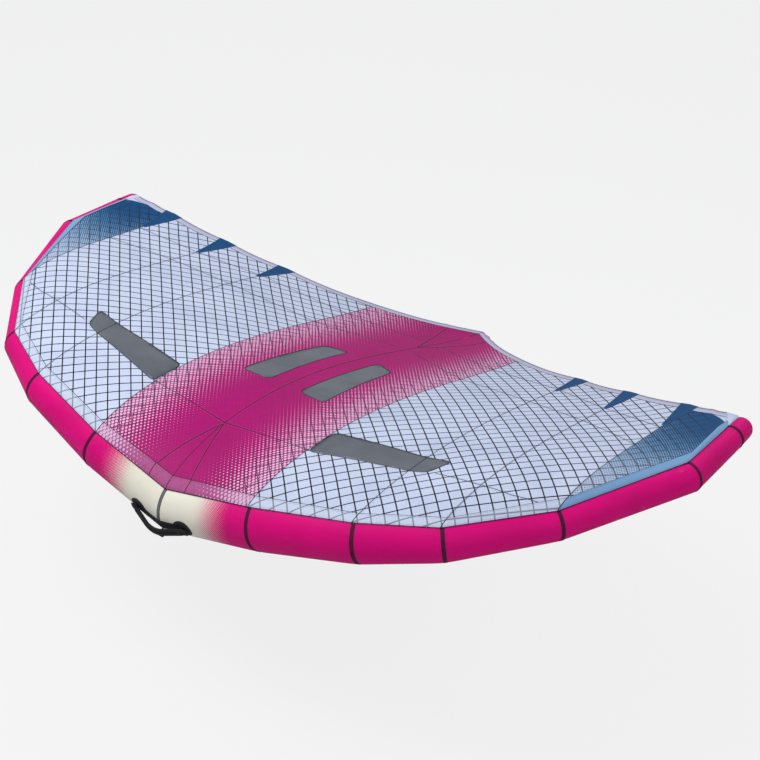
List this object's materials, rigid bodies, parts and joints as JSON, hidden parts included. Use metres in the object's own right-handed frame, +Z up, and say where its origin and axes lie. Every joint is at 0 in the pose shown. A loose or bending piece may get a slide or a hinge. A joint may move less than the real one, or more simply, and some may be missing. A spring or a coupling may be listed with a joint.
{
  "type": "wingfoil wing",
  "caption": "Inflatable hand-held wing for foil boards: tapered leading-edge tube, centre strut with boom, cambered panelled canopy with windows, front handle, leash loop and valve.",
  "frame": {"origin": "middle of the boom grip, where the rider's hands hold the wing", "axes": "+X to the wing's own left tip, +Y aft from the leading edge to the tail, +Z up from the boom to the canopy"},
  "size_m": [3.3046, 2.3206, 0.6261],
  "materials": {
    "black_eva": "matt black foam sleeve",
    "black_nylon": "black moulding",
    "black_webbing": "matt black webbing and padding",
    "bladder_tpu": "clear thermoplastic film",
    "blue_ripstop": "light ripstop printed deep blue",
    "carbon_tube": "matt black composite tube",
    "cream_dacron": "the same heavy cloth in cream with a halftone fade to magenta",
    "doubler_cloth": "light tinted reinforcing cloth",
    "grey_nylon": "grey moulding",
    "grid_ripstop": "light lilac-white ripstop with a dark load grid",
    "hem_cloth": "folded grey-lilac binding",
    "magenta_dacron": "heavy sailcloth, printed magenta, satin",
    "seam_tape": "dark woven tape",
    "stainless": "stainless steel",
    "window_film": "smoke-grey flexible film"
  },
  "bodies": {
    "wing": {"bladder_link": "grey_nylon", "boom_grip": "black_eva", "boom_screw_front": "stainless", "boom_screw_rear": "stainless", "boom_socket_front": "black_nylon", "boom_socket_rear": "black_nylon", "boom_tube": "carbon_tube", "canopy_centre_left": "magenta_dacron", "canopy_centre_right": "magenta_dacron", "canopy_doubler_left": "doubler_cloth", "canopy_doubler_right": "doubler_cloth", "canopy_inner_left": "grid_ripstop", "canopy_inner_right": "grid_ripstop", "canopy_middle_left": "grid_ripstop", "canopy_middle_right": "grid_ripstop", "canopy_outer_left": "grid_ripstop", "canopy_outer_right": "grid_ripstop", "canopy_tip_left": "blue_ripstop", "canopy_tip_right": "blue_ripstop", "canopy_window_centre_left": "window_film", "canopy_window_centre_right": "window_film", "canopy_window_side_left": "window_film", "canopy_window_side_right": "window_film", "handle_base_patch": "black_webbing", "handle_strap": "black_webbing", "le_bladder": "bladder_tpu", "le_panel_1_left": "cream_dacron", "le_panel_1_right": "cream_dacron", "le_panel_2_left": "magenta_dacron", "le_panel_2_right": "magenta_dacron", "le_panel_3_left": "magenta_dacron", "le_panel_3_right": "magenta_dacron", "le_panel_4_left": "magenta_dacron", "le_panel_4_right": "magenta_dacron", "le_panel_5_left": "magenta_dacron", "le_panel_5_right": "magenta_dacron", "le_panel_6_left": "magenta_dacron", "le_panel_6_right": "magenta_dacron", "le_seam_tapes": "seam_tape", "le_tip_cap_left": "magenta_dacron", "le_tip_cap_right": "magenta_dacron", "strut_bladder": "bladder_tpu", "strut_panel_1": "magenta_dacron", "strut_panel_2": "magenta_dacron", "strut_panel_3": "magenta_dacron", "strut_panel_4": "magenta_dacron", "strut_seam_tapes": "seam_tape", "strut_web": "doubler_cloth", "te_dart_2_left": "blue_ripstop", "te_dart_2_right": "blue_ripstop", "te_dart_3_left": "blue_ripstop", "te_dart_3_right": "blue_ripstop", "te_dart_4_left": "blue_ripstop", "te_dart_4_right": "blue_ripstop", "te_hem_left": "hem_cloth", "te_hem_right": "hem_cloth", "valve_body": "grey_nylon"},
    "cap": {"valve_cap": "black_nylon"},
    "poppet": {"valve_poppet": "black_nylon"},
    "leash": {"leash_loop": "black_webbing"}
  },
  "joints": [
    {"name": "cap_hinge", "type": "hinge", "parent": "wing", "child": "cap", "pos_m": [0.23767, -0.61696, 0.14475], "axis": [0.1843, -0.6032, -0.776], "range_deg": [0, 130]},
    {"name": "poppet_slide", "type": "slide", "parent": "wing", "child": "poppet", "axis": [-0.0272, -0.7924, 0.6094], "range_m": [0, 0.004], "stiffness_N_per_m": 300, "springref_m": -0.003},
    {"name": "leash_root", "type": "hinge", "parent": "wing", "child": "leash", "pos_m": [0, -0.80418, 0.08332], "axis": [1, 0, 0], "range_deg": [-50, 50], "stiffness_Nm_per_rad": 0.04}
  ]
}
